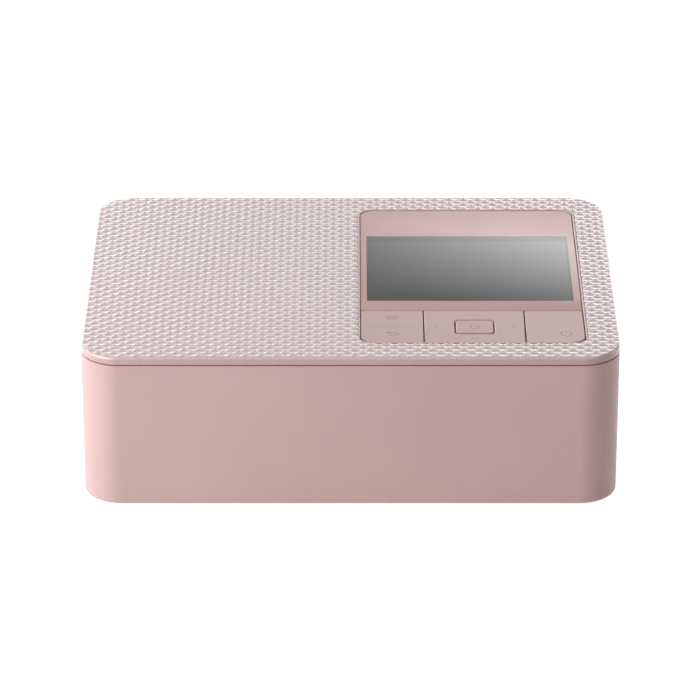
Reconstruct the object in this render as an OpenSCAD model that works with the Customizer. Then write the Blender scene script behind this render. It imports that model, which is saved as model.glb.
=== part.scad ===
// Compact dye-sublimation photo printer: case, lid, front door, ink door, control panel,
// feed rollers with their gears, print head on its arm, and the ink cassette.
// Millimetres. Origin under the middle of the body, +X to the viewer's right, +Y back, +Z up.

/* [Case] */
// Overall width
body_w = 182.2; // [164:0.1:200]
// Overall depth
body_d = 133; // [120:0.5:146]
// Overall height, feet included
body_h = 57.6; // [52:0.1:70]
// Radius of the four upright corners
corner_r = 13; // [11:0.5:15]
// Thickness of the plastic walls
wall = 2; // [1.6:0.1:2.2]
// Height of the rubber feet under the case
foot_h = 2; // [1:0.1:3]
// Radius of each foot
foot_r = 6; // [4:0.5:8]
// Height of the lid's side band above the seam
lid_band = 2.9; // [2.6:0.1:4]
// Thickness of the lid's top plate
lid_t = 1.8; // [1.4:0.1:2]
// Width of the seam line round the lid
seam_gap = 0.3; // [0.2:0.05:0.4]
// Rounding of the lid's top edge
top_edge = 1.2; // [0.6:0.1:1.4]
// Rounding of the case's bottom edge
bottom_edge = 1; // [0.6:0.1:1.2]
// Gap between a door and its opening
door_gap = 0.35; // [0.3:0.05:0.5]

/* [Front door] */
// Height of the front door's hinge pin
door_pivot_z = 12; // [12:0.1:13]
// Distance of that pin behind the front face
door_pivot_in = 7; // [6.5:0.1:7]
// Radius of the front door's pins
door_pin_r = 2; // [1.5:0.1:2.2]
// How far the front door opens, in degrees
door_open = 90; // [60:1:90]

/* [Ink door] */
// Length of the ink door
ink_door_l = 69; // [68:0.5:71]
// Distance of its rear edge from the rear face
ink_door_rear = 18.5; // [17:0.5:19]
// Lower edge of the ink door above the table
ink_door_z0 = 14; // [12:0.5:16]
// Distance of its upper edge below the seam
ink_door_below = 6.7; // [6:0.1:8]
// Radius of the ink door's hinge barrel
barrel_r = 3.5; // [3:0.1:4]
// Radius of the ink door's pins
ink_pin_r = 1.5; // [1:0.1:1.8]

/* [Control panel] */
// Width of the panel
panel_w = 76.5; // [74:0.1:80]
// Corner radius of the panel
panel_r = 4.75; // [4:0.25:6]
// Margin between the panel and the right side
panel_right = 11.3; // [10:0.1:13]
// Margin between the panel and the front
panel_front = 12; // [11:0.1:13]
// Margin between the panel and the rear
panel_rear = 11.7; // [11:0.1:14]
// Width of the light rim round the panel
rim_w = 0.6; // [0.5:0.1:1]
// Gap round each key and the window
key_gap = 0.3; // [0.25:0.05:0.4]
// Thickness of the window and the key caps
cap_t = 1.2; // [1:0.1:1.3]
// Depth of the key row
key_row_d = 25.3; // [24:0.1:27]
// Width of the menu and back key
menu_w = 21.7; // [20:0.1:23]
// Width of the power key
power_w = 20.3; // [19:0.1:22]
// Width of the OK key
ok_w = 12.7; // [11:0.1:14]
// Depth of the OK key
ok_d = 9.7; // [9:0.1:11]
// Travel of the OK key
ok_travel = 0.5; // [0.3:0.05:0.6]
// Visible width of the display
screen_w = 71.3; // [66:0.1:72]
// Visible depth of the display
screen_d = 53.8; // [48:0.1:56]
// Distance of the display's front edge behind the key row
screen_back = 7.8; // [7:0.1:9]

/* [Paper path] */
// Middle of the paper path, from the middle of the body
path_x = 9; // [8.5:0.5:9.5]
// Width of the paper
paper_w = 100; // [96:1:102]
// Distance of the mouth's ends inside the frame plates
mouth_in = 6; // [5:0.5:8]
// Height of the paper cassette's mouth
mouth_h = 32; // [28:0.5:34]
// Thickness of the frame's steel sheets
sheet_t = 1; // [0.8:0.1:1.2]
// Running clearance of a shaft in its bearing
fit = 0.05; // [0.02:0.01:0.1]
// Radius of the platen roller
platen_r = 7; // [6.5:0.1:7]
// Radius of the platen shaft
platen_shaft_r = 2.5; // [2:0.1:3]
// Radius of the capstan
capstan_r = 4; // [3.5:0.1:4]
// Radius of the capstan's journals
capstan_shaft_r = 2; // [1.5:0.1:2.2]
// Radius of the pinch roller
pinch_r = 2.5; // [2.2:0.1:2.6]
// Radius of the pinch roller's journals
pinch_shaft_r = 1.2; // [1:0.1:1.3]
// Radius of the pickup roller's tyre
pickup_r = 7; // [6:0.1:7]
// Width of the pickup roller's tyre
pickup_w = 20; // [14:1:30]
// Radius of the pickup shaft
pickup_shaft_r = 2; // [1.5:0.1:2.4]

/* [Print head] */
// Angle through which the head comes down, in degrees
head_drop = 13; // [10:0.5:13]
// Radius of the head arm's pivot shaft
head_shaft_r = 2.5; // [2:0.1:2.6]
// Number of fins on the heatsink
sink_fins = 18; // [10:1:20]

/* [Ink cassette] */
// Outer radius of the supply tube
supply_r = 8.6; // [8:0.1:8.7]
// Outer radius of the take-up tube
takeup_r = 8; // [7.5:0.1:8]
// Wall of both tubes
tube_t = 1; // [0.8:0.1:1.2]
// Radius of the film on the supply spool
supply_film_r = 6.6; // [5.5:0.1:6.6]
// Radius of the film on the take-up spool
takeup_film_r = 4.8; // [4.2:0.1:6]
// Radius of both spool cores
core_r = 3.5; // [3:0.1:3.8]

/* [Gears] */
// Gear module
gear_m = 0.8; // [0.76:0.01:0.8]
// Width of the gears
gear_w = 3.3; // [2.5:0.1:3.5]
// Teeth of the capstan gear
capstan_teeth = 30; // [28:1:30]
// Teeth of each motor pinion
pinion_teeth = 10; // [10:1:11]
// Teeth of the idler gear
idler_teeth = 14; // [14:1:15]
// Teeth of the pickup gear
pickup_teeth = 20; // [19:1:20]
// Teeth of the take-up gear
takeup_teeth = 28; // [26:1:28]
// Teeth on the full circle of the head's sector
sector_teeth = 40; // [38:1:40]
// Teeth of the lift pinion
lift_teeth = 12; // [12:1:13]

/* [Hidden] */

$fn = 64;
pink = [0.80, 0.67, 0.65];
pink_key = [0.76, 0.66, 0.64];
dark = [0.16, 0.16, 0.17];
steel = [0.72, 0.74, 0.76];
nylon = [0.90, 0.89, 0.86];
green = [0.12, 0.36, 0.24];

eps = 0.01;
half_w = body_w / 2;
half_d = body_d / 2;
case_z = foot_h;
floor_z = case_z + wall;
seam_z = body_h - lid_band;
case_top = seam_z - seam_gap / 2;
lid_z = seam_z + seam_gap / 2;
lid_under = body_h - lid_t;
inner_r = corner_r - wall;
inner_x = half_w - wall;
inner_y = half_d - wall;

// Front door: it covers the front and wraps both corners, and turns in round lobes
wrap_y = -half_d + corner_r + 0.2;
door_pivot_y = -half_d + door_pivot_in;
lobe_r = door_pivot_z - 0.2;
lobe_gap = lobe_r + door_gap;
lug_t = 3.3;
lug_r = door_pin_r + 2.4;
lug_x = half_w - corner_r - 1.1;
lug_back = door_pivot_y + lobe_gap + 0.3;

// Ink door and its hinge
ink_door_y1 = half_d - ink_door_rear;
ink_door_y0 = ink_door_y1 - ink_door_l;
ink_door_z1 = seam_z - ink_door_below;
barrel_x = half_w - barrel_r;
barrel_y = ink_door_y1 - barrel_r;
ink_pin_l = 2.6;
ink_boss = ink_pin_r + 1.5;

// Inner fascia behind the front door
fascia_t = 1.5;
fascia_y = door_pivot_y + lobe_gap + 0.55;
fascia_x = lug_x - 0.5;
fascia_top = body_h - 7.8;
chassis_y0 = lug_back + lug_t + 0.3;
chassis_y1 = inner_y - 2.5;
chassis_top = body_h - 8;

// Frame plates on both sides of the paper path
frame_half = body_w / 2.76;
plate_l = path_x - frame_half;
plate_r = path_x + frame_half;
mouth_w = 2 * (frame_half - mouth_in);
mouth_z = floor_z + 3.5;

// Shaft places in the side view, as [y, z], spread over the room under the panel
frame_z = body_h - 6.4;
room = frame_z - floor_z;
platen_at = [11, floor_z + 0.275 * room];
capstan_at = [platen_at[0] - 12, platen_at[1] + platen_r - capstan_r - 0.6];
pinch_at = [capstan_at[0], capstan_at[1] + capstan_r + pinch_r + 0.3];
pickup_at = [platen_at[0] - 38, platen_at[1] + 0.33 * room];
supply_at = [platen_at[0] - 22, platen_at[1] + 0.37 * room];
takeup_at = [platen_at[0] + 22, platen_at[1] + 0.34 * room];
head_at = [platen_at[0] + 40, frame_z - 4.2];

// Gear train: pitch radii, places and tooth phases
function pitch(teeth) = gear_m * teeth / 2;
function polar(at, dist, angle) = [at[0] + dist * cos(angle), at[1] + dist * sin(angle)];
function bearing(from, to) = atan2(to[1] - from[1], to[0] - from[0]);
function gap_phase(t1, phase1, t2, angle) = angle + 180 - t1 / t2 * (phase1 - angle) - 180 / t2;
mesh_gap = 0.1;
function mesh(t1, t2) = pitch(t1) + pitch(t2) + mesh_gap;

feed_angle = 16.5;
feed_at = polar(capstan_at, mesh(capstan_teeth, pinion_teeth), feed_angle);
ribbon_angle = -75;
ribbon_at = polar(takeup_at, mesh(takeup_teeth, pinion_teeth), ribbon_angle);
lift_angle = 180;
lift_at = polar(head_at, mesh(sector_teeth, lift_teeth), lift_angle);
span = norm(pickup_at - capstan_at);
arm_a = mesh(capstan_teeth, idler_teeth);
arm_b = mesh(idler_teeth, pickup_teeth);
idler_turn = acos((arm_a * arm_a + span * span - arm_b * arm_b) / (2 * arm_a * span));
idler_angle = bearing(capstan_at, pickup_at) + idler_turn;
idler_at = polar(capstan_at, arm_a, idler_angle);
pickup_angle = bearing(idler_at, pickup_at);

feed_phase = gap_phase(capstan_teeth, 0, pinion_teeth, feed_angle);
idler_phase = gap_phase(capstan_teeth, 0, idler_teeth, idler_angle);
pickup_phase = gap_phase(idler_teeth, idler_phase, pickup_teeth, pickup_angle);
ribbon_phase = gap_phase(takeup_teeth, 0, pinion_teeth, ribbon_angle);
lift_phase = gap_phase(sector_teeth, 0, lift_teeth, lift_angle);

gear_x = plate_l - sheet_t - 1.2 - gear_w;
shaft_end = gear_x - 0.6;
sector_x = gear_x - 2 - gear_w;
motor_plate_x = sector_x - 1 - sheet_t;
can_l = inner_x + motor_plate_x - 3.3;
motor_shaft_r = 1;
motor_boss_r = 2.6;
feed_can_r = 12;
ribbon_can_r = 8;
lift_can_r = 6.5;
idler_post_r = 2;

// Bearings of the shafts, as [place, shaft radius], and their bushes
bushes = [[platen_at, platen_shaft_r], [capstan_at, capstan_shaft_r], [pinch_at, pinch_shaft_r],
    [pickup_at, pickup_shaft_r], [head_at, head_shaft_r]];
bush_wall = 1.4;

// Pillars between the left frame plate and the motor plate, as [y, z]
pillar_r = 2;
pillar_at = [[feed_at[0] - 1, floor_z + 3.5], [feed_at[0] - 2, chassis_top - 5],
    [chassis_y1 - 4, floor_z + 8], [chassis_y1 - 3, chassis_top - 14]];

// Ink cassette
tube_x0 = plate_l + 7;
tube_x1 = plate_r - 3;
bridge_z = pinch_at[1] + pinch_r + 0.9;
bridge_h = takeup_at[1] - bridge_z + 0.6;
spool_pin_r = 2.5;
drive_r = 1.6;

lever_y = takeup_at[0] - 13.5;
lever_z = bridge_z - 6;
lever_travel = 2;
peg_r = 1;

// Print head at rest: its contact line is turned back from the platen by the drop
head_reach = head_at[0] - platen_at[0];
head_fall = head_at[1] - (platen_at[1] + platen_r) - 0.4;
head_y = head_at[0] - head_reach * cos(head_drop) - head_fall * sin(head_drop);
head_z = head_at[1] + head_reach * sin(head_drop) - head_fall * cos(head_drop);
head_w = paper_w + 6;
head_depth = 8;
ceramic_t = 1.6;
bar_h = 3.6;
bar_z = frame_z - 3 - bar_h;
arm_t = 1.5;
arm_l = plate_l + 0.5;
arm_r = plate_r - 0.5 - arm_t;

// Control panel
panel_x1 = half_w - panel_right;
panel_x0 = panel_x1 - panel_w;
panel_y0 = -half_d + panel_front;
panel_y1 = half_d - panel_rear;
panel_d = panel_y1 - panel_y0;
panel_x = (panel_x0 + panel_x1) / 2;
panel_y = (panel_y0 + panel_y1) / 2;
cap_top = body_h - 0.3;
cap_z = cap_top - cap_t;
rim_top = body_h - 0.15;
ledge_z = cap_z - 0.8;
ledge_w = 1.6;
flange_w = rim_w + 1.5;
divider_y = panel_y0 + key_row_d;
nav_x0 = panel_x0 + menu_w;
nav_x1 = panel_x1 - power_w;
nav_x = (nav_x0 + nav_x1) / 2;
menu_x = panel_x0 + menu_w / 2;
power_x = nav_x1 + power_w / 2;
power_pin_y = divider_y - 3;
menu_switch = 6.5;
nav_switch_x = 14.5;
nav_switch_y = 8.5;
key_y = (panel_y0 + divider_y) / 2;
ok_y = key_y - 0.2;
key_pin_r = 0.8;
key_pin_z = frame_z + 2.7;
bar_w = 4;
ear_t = 1.5;
gimbal_d = 5.5;
board_t = 1.2;
switch_h = 1.2;
switch_top = frame_z + switch_h;
plunger_z = switch_top + 0.5;
screen_x = panel_x - 0.2;
screen_y0 = divider_y + screen_back;
screen_y = screen_y0 + screen_d / 2;
module_t = 2.4;
module_z = cap_z - 0.1 - module_t;

// Screw posts that join lid and case: [x, y]
post_r = 4.2;
post_at = [[half_w - 5.5, -half_d + 25.5], [-half_w + 5.5, -half_d + 25.5],
    [half_w - 8.2, half_d - 8.2], [-half_w + 8.2, half_d - 8.2]];
post_top = body_h - 11.6;
screw_r = 1.5;
screw_head_r = 2.8;
screw_head_h = 2;
screw_l = 8;

// Main board: half its width, its edges and its posts
board_half = 54;
board_y0 = platen_at[0] + 12;
board_y1 = chassis_y1 - 3;
board_z = floor_z + 4.6;
board_posts = [board_y0 + 4, board_y1 - 4];

// Rear paper slot and sockets
rear_slot_h = 6;
rear_slot_z = platen_at[1] + 4.8;
port_z = board_z;
dc_x = path_x - 40;
usb_x = path_x - 24;
card_y = -half_d + 45.5;
card_z = seam_z - 12;
card_l = inner_x + shaft_end - 0.3;
card_half = 14;

// Flat rounded rectangle centred on the origin
module round_rect(w, d, r) {
    square([w - 2 * r, d], center = true);
    square([w, d - 2 * r], center = true);
    for (x = [-1, 1], y = [-1, 1]) translate([x * (w / 2 - r), y * (d / 2 - r)]) circle(r);
}

// Upright prism with rounded corners between two heights
module prism(w, d, r, z0, z1) {
    translate([0, 0, z0]) linear_extrude(z1 - z0) round_rect(w, d, r);
}

// Box between two corners
module block(low, high) {
    translate(low) cube(high - low);
}

// Section of a slab, with its lower and upper edges rounded
module slab_section(w, z0, z1, e0, e1) {
    translate([-w / 2, z0 + e0]) square([w, z1 - z0 - e0 - e1]);
    if (e0 > 0) {
        translate([-w / 2 + e0, z0]) square([w - 2 * e0, e0 + eps]);
        for (s = [-1, 1]) translate([s * (w / 2 - e0), z0 + e0]) circle(e0);
    }
    if (e1 > 0) {
        translate([-w / 2 + e1, z1 - e1 - eps]) square([w - 2 * e1, e1 + eps]);
        for (s = [-1, 1]) translate([s * (w / 2 - e1), z1 - e1]) circle(e1);
    }
}

// Slab with rounded corners in plan and rounded edges in section
module soft_slab(w, d, r, z0, z1, e0, e1) {
    rotate([90, 0, 90]) linear_extrude(w - 2 * r, center = true) slab_section(d, z0, z1, e0, e1);
    rotate([90, 0, 0]) linear_extrude(d - 2 * r, center = true) slab_section(w, z0, z1, e0, e1);
    for (x = [-1, 1], y = [-1, 1]) translate([x * (w / 2 - r), y * (d / 2 - r), 0]) {
        rotate_extrude() intersection() {
            slab_section(2 * r, z0, z1, e0, e1);
            translate([0, z0]) square([r, z1 - z0]);
        }
    }
}

// Places its children on a shaft along X; their own Z then points along +X
module on_shaft(x, at) {
    translate([x, at[0], at[1]]) rotate([90, 0, 90]) children();
}

// Plain shaft along X between two ends
module shaft(at, r, x0, x1) {
    on_shaft(x0, at) cylinder(r = r, h = x1 - x0);
}

// Spur gear on a shaft, with trapezoid teeth
module gear_disc(teeth, phase, width) {
    tip = pitch(teeth) + 0.85 * gear_m;
    root = pitch(teeth) - 1.15 * gear_m;
    step = 360 / teeth;
    tip_a = 0.1 * step;
    root_a = 0.31 * step;
    linear_extrude(width) polygon([for (i = [0:teeth - 1], s = [0:3])
        let (a = phase + i * step + [-root_a, -tip_a, tip_a, root_a][s], r = [root, tip, tip, root][s])
        [r * cos(a), r * sin(a)]]);
}

module gear(at, x, teeth, phase, bore) {
    on_shaft(x, at) difference() {
        gear_disc(teeth, phase, gear_w);
        translate([0, 0, -1]) cylinder(r = bore, h = gear_w + 2);
    }
}

module case_solid() {
    soft_slab(body_w, body_d, corner_r, case_z, case_top, bottom_edge, 0);
}

// Zone of the front door, grown by a gap for the cut in the case
module door_zone(gap, reach) {
    block([-body_w, -body_d, -1], [body_w, wrap_y + gap, body_h]);
    translate([0, door_pivot_y, door_pivot_z]) rotate([0, 90, 0])
        cylinder(r = reach, h = body_w + 10, center = true);
}

module post_holes() {
    for (p = post_at) translate([p[0], p[1], -1]) {
        cylinder(r = screw_head_r + 0.3, h = post_top - 3 + 1);
        cylinder(r = screw_r + 0.2, h = post_top + 2);
    }
}

module door_lugs() {
    for (s = [-1, 1]) {
        x0 = s > 0 ? lug_x : -lug_x - lug_t;
        difference() {
            union() {
                shaft([door_pivot_y, door_pivot_z], lug_r, x0, x0 + lug_t);
                block([x0, door_pivot_y, door_pivot_z - lug_r + 0.4],
                    [x0 + lug_t, lug_back + 3, door_pivot_z + lug_r]);
            }
            shaft([door_pivot_y, door_pivot_z], door_pin_r + fit, x0 - 1, x0 + lug_t + 1);
        }
        block([min(s * lug_x, s * (inner_x + 0.5)), lug_back, door_pivot_z - lug_r + 0.4],
            [max(s * lug_x, s * (inner_x + 0.5)), lug_back + 3, door_pivot_z + lug_r]);
    }
}

module ink_hinge_bosses() {
    for (z = [ink_door_z0 - door_gap - ink_pin_l - 1.2, ink_door_z1 + door_gap]) {
        difference() {
            union() {
                translate([barrel_x, barrel_y, z]) cylinder(r = ink_boss, h = ink_pin_l + 1.2);
                block([barrel_x, barrel_y - ink_boss, z], [inner_x + 0.5, barrel_y + ink_boss,
                    z + ink_pin_l + 1.2]);
            }
            translate([barrel_x, barrel_y, z - 1]) cylinder(r = ink_pin_r + fit, h = ink_pin_l + 4);
        }
    }
}

module vents() {
    for (i = [0:7]) {
        block([-half_w - 1, 6 + i * 5, case_z + 10], [-inner_x + 1, 8 + i * 5, case_z + 32]);
        block([path_x - 33 + i * 9, inner_y - 1, case_z + 34],
            [path_x - 28 + i * 9, half_d + 1, case_z + 36]);
    }
}

module base_shell() {
    color(pink) {
        difference() {
            case_solid();
            prism(2 * inner_x, 2 * inner_y, inner_r, floor_z, body_h);
            door_zone(door_gap, lobe_gap);
            // Side opening for the ink door, with a finger scoop at its front edge
            block([inner_x - 1, ink_door_y0 - door_gap, ink_door_z0 - door_gap],
                [half_w + 1, ink_door_y1 + door_gap, ink_door_z1 + door_gap]);
            translate([half_w + 5.8, ink_door_y0 - door_gap, (ink_door_z0 + ink_door_z1) / 2])
                sphere(r = 7);
            // Rear paper slot
            block([path_x - paper_w / 2 - 3, inner_y - 1, rear_slot_z],
                [path_x + paper_w / 2 + 3, half_d + 1, rear_slot_z + rear_slot_h]);
            // Sockets
            block([dc_x - 4.6, inner_y - 1, port_z - 0.2], [dc_x + 4.6, half_d + 1, port_z + 11.2]);
            block([usb_x - 4.9, inner_y - 1, port_z - 0.2], [usb_x + 4.9, half_d + 1, port_z + 3.6]);
            block([-half_w - 1, card_y - 13, card_z + 0.3], [-inner_x + 1, card_y + 13, card_z + 2.9]);
            vents();
            post_holes();
        }
        difference() {
            for (p = post_at) translate([p[0], p[1], case_z + 0.5])
                cylinder(r = post_r, h = post_top - case_z - 0.5);
            post_holes();
        }
        door_lugs();
        ink_hinge_bosses();
        // Ledge for the card reader
        block([-inner_x - 0.5, card_y - card_half, card_z - board_t - 1.4],
            [-inner_x + 7, card_y + card_half, card_z - board_t]);
    }
}

module lid_cover() {
    color(pink) {
        difference() {
            union() {
                soft_slab(body_w, body_d, corner_r, lid_z, body_h, 0, top_edge);
                // Skirt that sits inside the case
                prism(2 * inner_x - 0.4, 2 * inner_y - 0.4, inner_r - 0.2, lid_z - 2, lid_z + 0.5);
            }
            prism(2 * inner_x - 2.8, 2 * inner_y - 2.8, inner_r - 1.4, lid_z - 3, lid_under);
            translate([panel_x, panel_y, 0])
                prism(panel_w + 2 * rim_w + 0.2, panel_d + 2 * rim_w + 0.2, panel_r + rim_w + 0.1,
                    lid_z - 5, body_h + 1);
        }
        for (p = post_at) translate([p[0], p[1], post_top + 0.2]) difference() {
            cylinder(r = post_r - 1, h = lid_under - post_top);
            translate([0, 0, -1]) cylinder(r = screw_r, h = screw_l - 1);
        }
    }
}

module front_door() {
    color(pink) {
        difference() {
            intersection() {
                case_solid();
                door_zone(0, lobe_r);
            }
            prism(2 * inner_x, 2 * inner_y, inner_r, -1, body_h);
        }
        // Pins that reach in from both corners
        intersection() {
            case_solid();
            for (x = [-half_w, lug_x - 0.7])
                shaft([door_pivot_y, door_pivot_z], door_pin_r, x, x + half_w - lug_x + 0.7);
        }
        // Two ribs that stiffen the inner face
        for (z = [door_pivot_z + 16, door_pivot_z + 30])
            block([-half_w + corner_r + 2, -inner_y - 0.5, z],
                [half_w - corner_r - 2, -inner_y + 2, z + 1.2]);
    }
}

module ink_door() {
    color(pink) {
        block([inner_x, ink_door_y0, ink_door_z0], [half_w, barrel_y, ink_door_z1]);
        translate([barrel_x, barrel_y, ink_door_z0])
            cylinder(r = barrel_r, h = ink_door_z1 - ink_door_z0);
        for (z = [ink_door_z0 - ink_pin_l, ink_door_z1 - 1])
            translate([barrel_x, barrel_y, z]) cylinder(r = ink_pin_r, h = ink_pin_l + 1);
        // Stiffening rib along the free edge
        block([inner_x - 1.6, ink_door_y0 + 1.5, ink_door_z0 + 2],
            [inner_x + 0.5, ink_door_y0 + 2.7, ink_door_z1 - 2]);
    }
}

module slot_fascia() {
    color(pink) difference() {
        block([-fascia_x, fascia_y, floor_z], [fascia_x, fascia_y + fascia_t, fascia_top]);
        block([path_x - mouth_w / 2, fascia_y - 1, mouth_z],
            [path_x + mouth_w / 2, fascia_y + fascia_t + 1, mouth_z + mouth_h]);
    }
}

module feet() {
    color(dark) for (x = [-1, 1], y = [-1, 1])
        translate([x * (half_w - 24), y > 0 ? half_d - 16 : -half_d + 26, 0])
            cylinder(r = foot_r, h = foot_h);
}

module lid_screws() {
    color(steel) for (p = post_at) translate([p[0], p[1], post_top - 3]) {
        translate([0, 0, -screw_head_h]) difference() {
            cylinder(r = screw_head_r, h = screw_head_h);
            for (a = [0, 90]) rotate(a) translate([-1.6, -0.3, -1]) cube([3.2, 0.6, 2]);
        }
        cylinder(r = screw_r, h = screw_l);
    }
}

module key_bars() {
    // Bearing bars for the rocking keys, standing on the switch board
    for (x = [menu_x, power_x])
        block([x - bar_w / 2, panel_y0, frame_z], [x + bar_w / 2, divider_y + 0.5, ledge_z - 0.2]);
    // Posts for the navigation gimbal
    for (s = [-1, 1])
        block([nav_x + s * 10 - 1.5, ok_y - 2, frame_z], [nav_x + s * 10 + 1.5, ok_y + 2, ledge_z - 0.1]);
    for (s = [-1, 1])
        block([nav_x + s * 10 - 1.5, panel_y0, frame_z],
            [nav_x + s * 10 + 1.5, divider_y + 0.5, frame_z + 0.6]);
}

module panel_frame() {
    color(pink_key) difference() {
        union() {
            translate([panel_x, panel_y, 0]) difference() {
                union() {
                    prism(panel_w + 2 * rim_w, panel_d + 2 * rim_w, panel_r + rim_w, frame_z, rim_top);
                    prism(panel_w + 2 * flange_w, panel_d + 2 * flange_w, panel_r + flange_w,
                        lid_under - 1.2, lid_under);
                }
                prism(panel_w, panel_d, panel_r, cap_z, body_h);
                prism(panel_w - 2 * ledge_w, panel_d - 2 * ledge_w, panel_r - ledge_w,
                    frame_z - 1, body_h);
            }
            // Divider wall behind the key row and shelf under the display
            block([panel_x0 + 0.5, divider_y + 0.1, frame_z], [panel_x1 - 0.5, divider_y + 2, cap_z]);
            block([panel_x0 + 0.5, divider_y, frame_z], [panel_x1 - 0.5, panel_y1 - 0.5, module_z - 0.1]);
            key_bars();
        }
        // Key row pocket, lowered below the moving caps
        block([panel_x0, panel_y0, ledge_z], [panel_x1, divider_y + 0.1, body_h]);
        // Light opening in the shelf
        block([panel_x0 + 8, divider_y + 8, frame_z - 1], [panel_x1 - 8, panel_y1 - 8, module_z + 1]);
        // Bores for the pins of the two rocking keys and the gimbal
        shaft([key_y, key_pin_z], key_pin_r + fit, menu_x - 5, menu_x + 5);
        shaft([power_pin_y, key_pin_z], key_pin_r + fit, power_x - 5, power_x + 5);
        shaft([ok_y, key_pin_z], key_pin_r + fit, nav_x - 14, nav_x + 14);
    }
}

module display_window() {
    color([0.75, 0.63, 0.62]) difference() {
        translate([panel_x, panel_y, 0])
            prism(panel_w - 2 * key_gap, panel_d - 2 * key_gap, panel_r - key_gap, cap_z, cap_top);
        block([panel_x0 - 1, panel_y0 - 1, 0], [panel_x1 + 1, divider_y + key_gap / 2, body_h]);
    }
}

module display_module() {
    color(dark) block([screen_x - screen_w / 2 - 0.6, screen_y0 - 2.4, module_z],
        [screen_x + screen_w / 2 + 0.6, screen_y0 + screen_d + 1.6, module_z + module_t]);
}

// One cap of the key row, cut from the panel's outline
module key_cap(x0, x1) {
    intersection() {
        translate([panel_x, panel_y, 0])
            prism(panel_w - 2 * key_gap, panel_d - 2 * key_gap, panel_r - key_gap, cap_z, cap_top);
        block([x0, panel_y0, 0], [x1, divider_y - key_gap / 2, body_h]);
    }
}

// Pin under a key, held between two ears that straddle its bar
module key_hinge(x, y) {
    for (s = [-1, 1]) translate([x + s * (bar_w / 2 + 0.3 + ear_t / 2), y, 0])
        block([-ear_t / 2, -1.6, key_pin_z - 1.4], [ear_t / 2, 1.6, cap_z + eps]);
    shaft([y, key_pin_z], key_pin_r, x - bar_w / 2 - 1, x + bar_w / 2 + 1);
}

module plunger(x, y) {
    translate([x, y, plunger_z]) cylinder(r = 1.2, h = cap_z - plunger_z + eps);
}

module menu_key() {
    color(pink_key) {
        key_cap(panel_x0, nav_x0 - key_gap / 2);
        key_hinge(menu_x, key_y);
        for (s = [-1, 1]) plunger(menu_x - menu_switch, key_y + s * 8);
    }
}

module nav_gimbal() {
    color(nylon) {
        difference() {
            block([nav_x - 7.8, ok_y - gimbal_d, key_pin_z - 1.3],
                [nav_x + 7.8, ok_y + gimbal_d, key_pin_z + 1.3]);
            translate([nav_x, ok_y, 0]) cylinder(r = 4, h = body_h);
        }
        shaft([ok_y, key_pin_z], key_pin_r, nav_x - 11.2, nav_x - 7);
        shaft([ok_y, key_pin_z], key_pin_r, nav_x + 7, nav_x + 11.2);
        for (s = [-1, 1]) translate([nav_x, ok_y + s * (gimbal_d + 0.7), key_pin_z]) rotate([90, 0, 0])
            cylinder(r = key_pin_r, h = 1.7, center = true);
    }
}

module nav_pad() {
    color(pink_key) {
        difference() {
            key_cap(nav_x0 + key_gap / 2, nav_x1 - key_gap / 2);
            translate([nav_x, ok_y, 0])
                prism(ok_w + 2 * key_gap, ok_d + 2 * key_gap, 1.6, cap_z - 1, body_h);
        }
        // Ears that hang on the gimbal's front and rear pins
        for (s = [-1, 1]) difference() {
            block([nav_x - 1.8, ok_y + s * (gimbal_d + 1.1) - 0.8, key_pin_z - 1.4],
                [nav_x + 1.8, ok_y + s * (gimbal_d + 1.1) + 0.8, cap_z + eps]);
            translate([nav_x, ok_y + s * (gimbal_d + 1.1), key_pin_z]) rotate([90, 0, 0])
                cylinder(r = key_pin_r + fit, h = 4, center = true);
        }
        for (s = [-1, 1]) {
            plunger(nav_x + s * nav_switch_x, ok_y);
            plunger(nav_x, ok_y + s * nav_switch_y);
        }
    }
}

module ok_key() {
    color(pink_key) {
        translate([nav_x, ok_y, 0]) prism(ok_w, ok_d, 1.3, cap_z, cap_top);
        translate([nav_x, ok_y, switch_top + ok_travel + 0.1])
            cylinder(r = 2.2, h = cap_z - switch_top - ok_travel);
    }
}

module power_key() {
    color(pink_key) {
        key_cap(nav_x1 + key_gap / 2, panel_x1);
        key_hinge(power_x, power_pin_y);
        plunger(power_x + 6, key_y - 6);
    }
}

// Tactile switch on the board
module switch(x, y) {
    translate([x, y, frame_z]) {
        translate([-2.2, -2.2, -eps]) cube([4.4, 4.4, switch_h - 0.4]);
        cylinder(r = 1, h = switch_h);
    }
}

module key_board() {
    color(green) {
        block([panel_x0 + 2, panel_y0 + 2, frame_z - board_t], [panel_x1 - 2, divider_y, frame_z]);
        for (s = [-1, 1]) {
            switch(menu_x - menu_switch, key_y + s * 8);
            switch(nav_x + s * nav_switch_x, ok_y);
            switch(nav_x, ok_y + s * nav_switch_y);
        }
        switch(nav_x, ok_y);
        switch(power_x + 6, key_y - 6);
    }
}

module main_board() {
    color(green) difference() {
        union() {
            block([path_x - board_half, board_y0, board_z - 1.6],
                [path_x + board_half, board_y1, board_z]);
            // Processor, memory and driver chips
            block([path_x - 30, board_y0 + 5, board_z], [path_x - 14, board_y0 + 21, board_z + 1.4]);
            block([path_x + 4, board_y0 + 4, board_z], [path_x + 16, board_y0 + 14, board_z + 1.2]);
            block([path_x + 24, board_y1 - 16, board_z], [path_x + 38, board_y1 - 4, board_z + 2.4]);
            // Row of capacitors
            for (i = [0:3]) translate([path_x - 46 + i * 8, board_y1 - 14, board_z])
                cylinder(r = 3, h = 7);
            for (x = [-50, 50], y = board_posts) translate([path_x + x, y, floor_z])
                cylinder(r = 2.5, h = 3.2);
        }
        for (x = [-50, 50], y = board_posts) translate([path_x + x, y, floor_z - 1])
            cylinder(r = 1.2, h = 8);
    }
}

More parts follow.
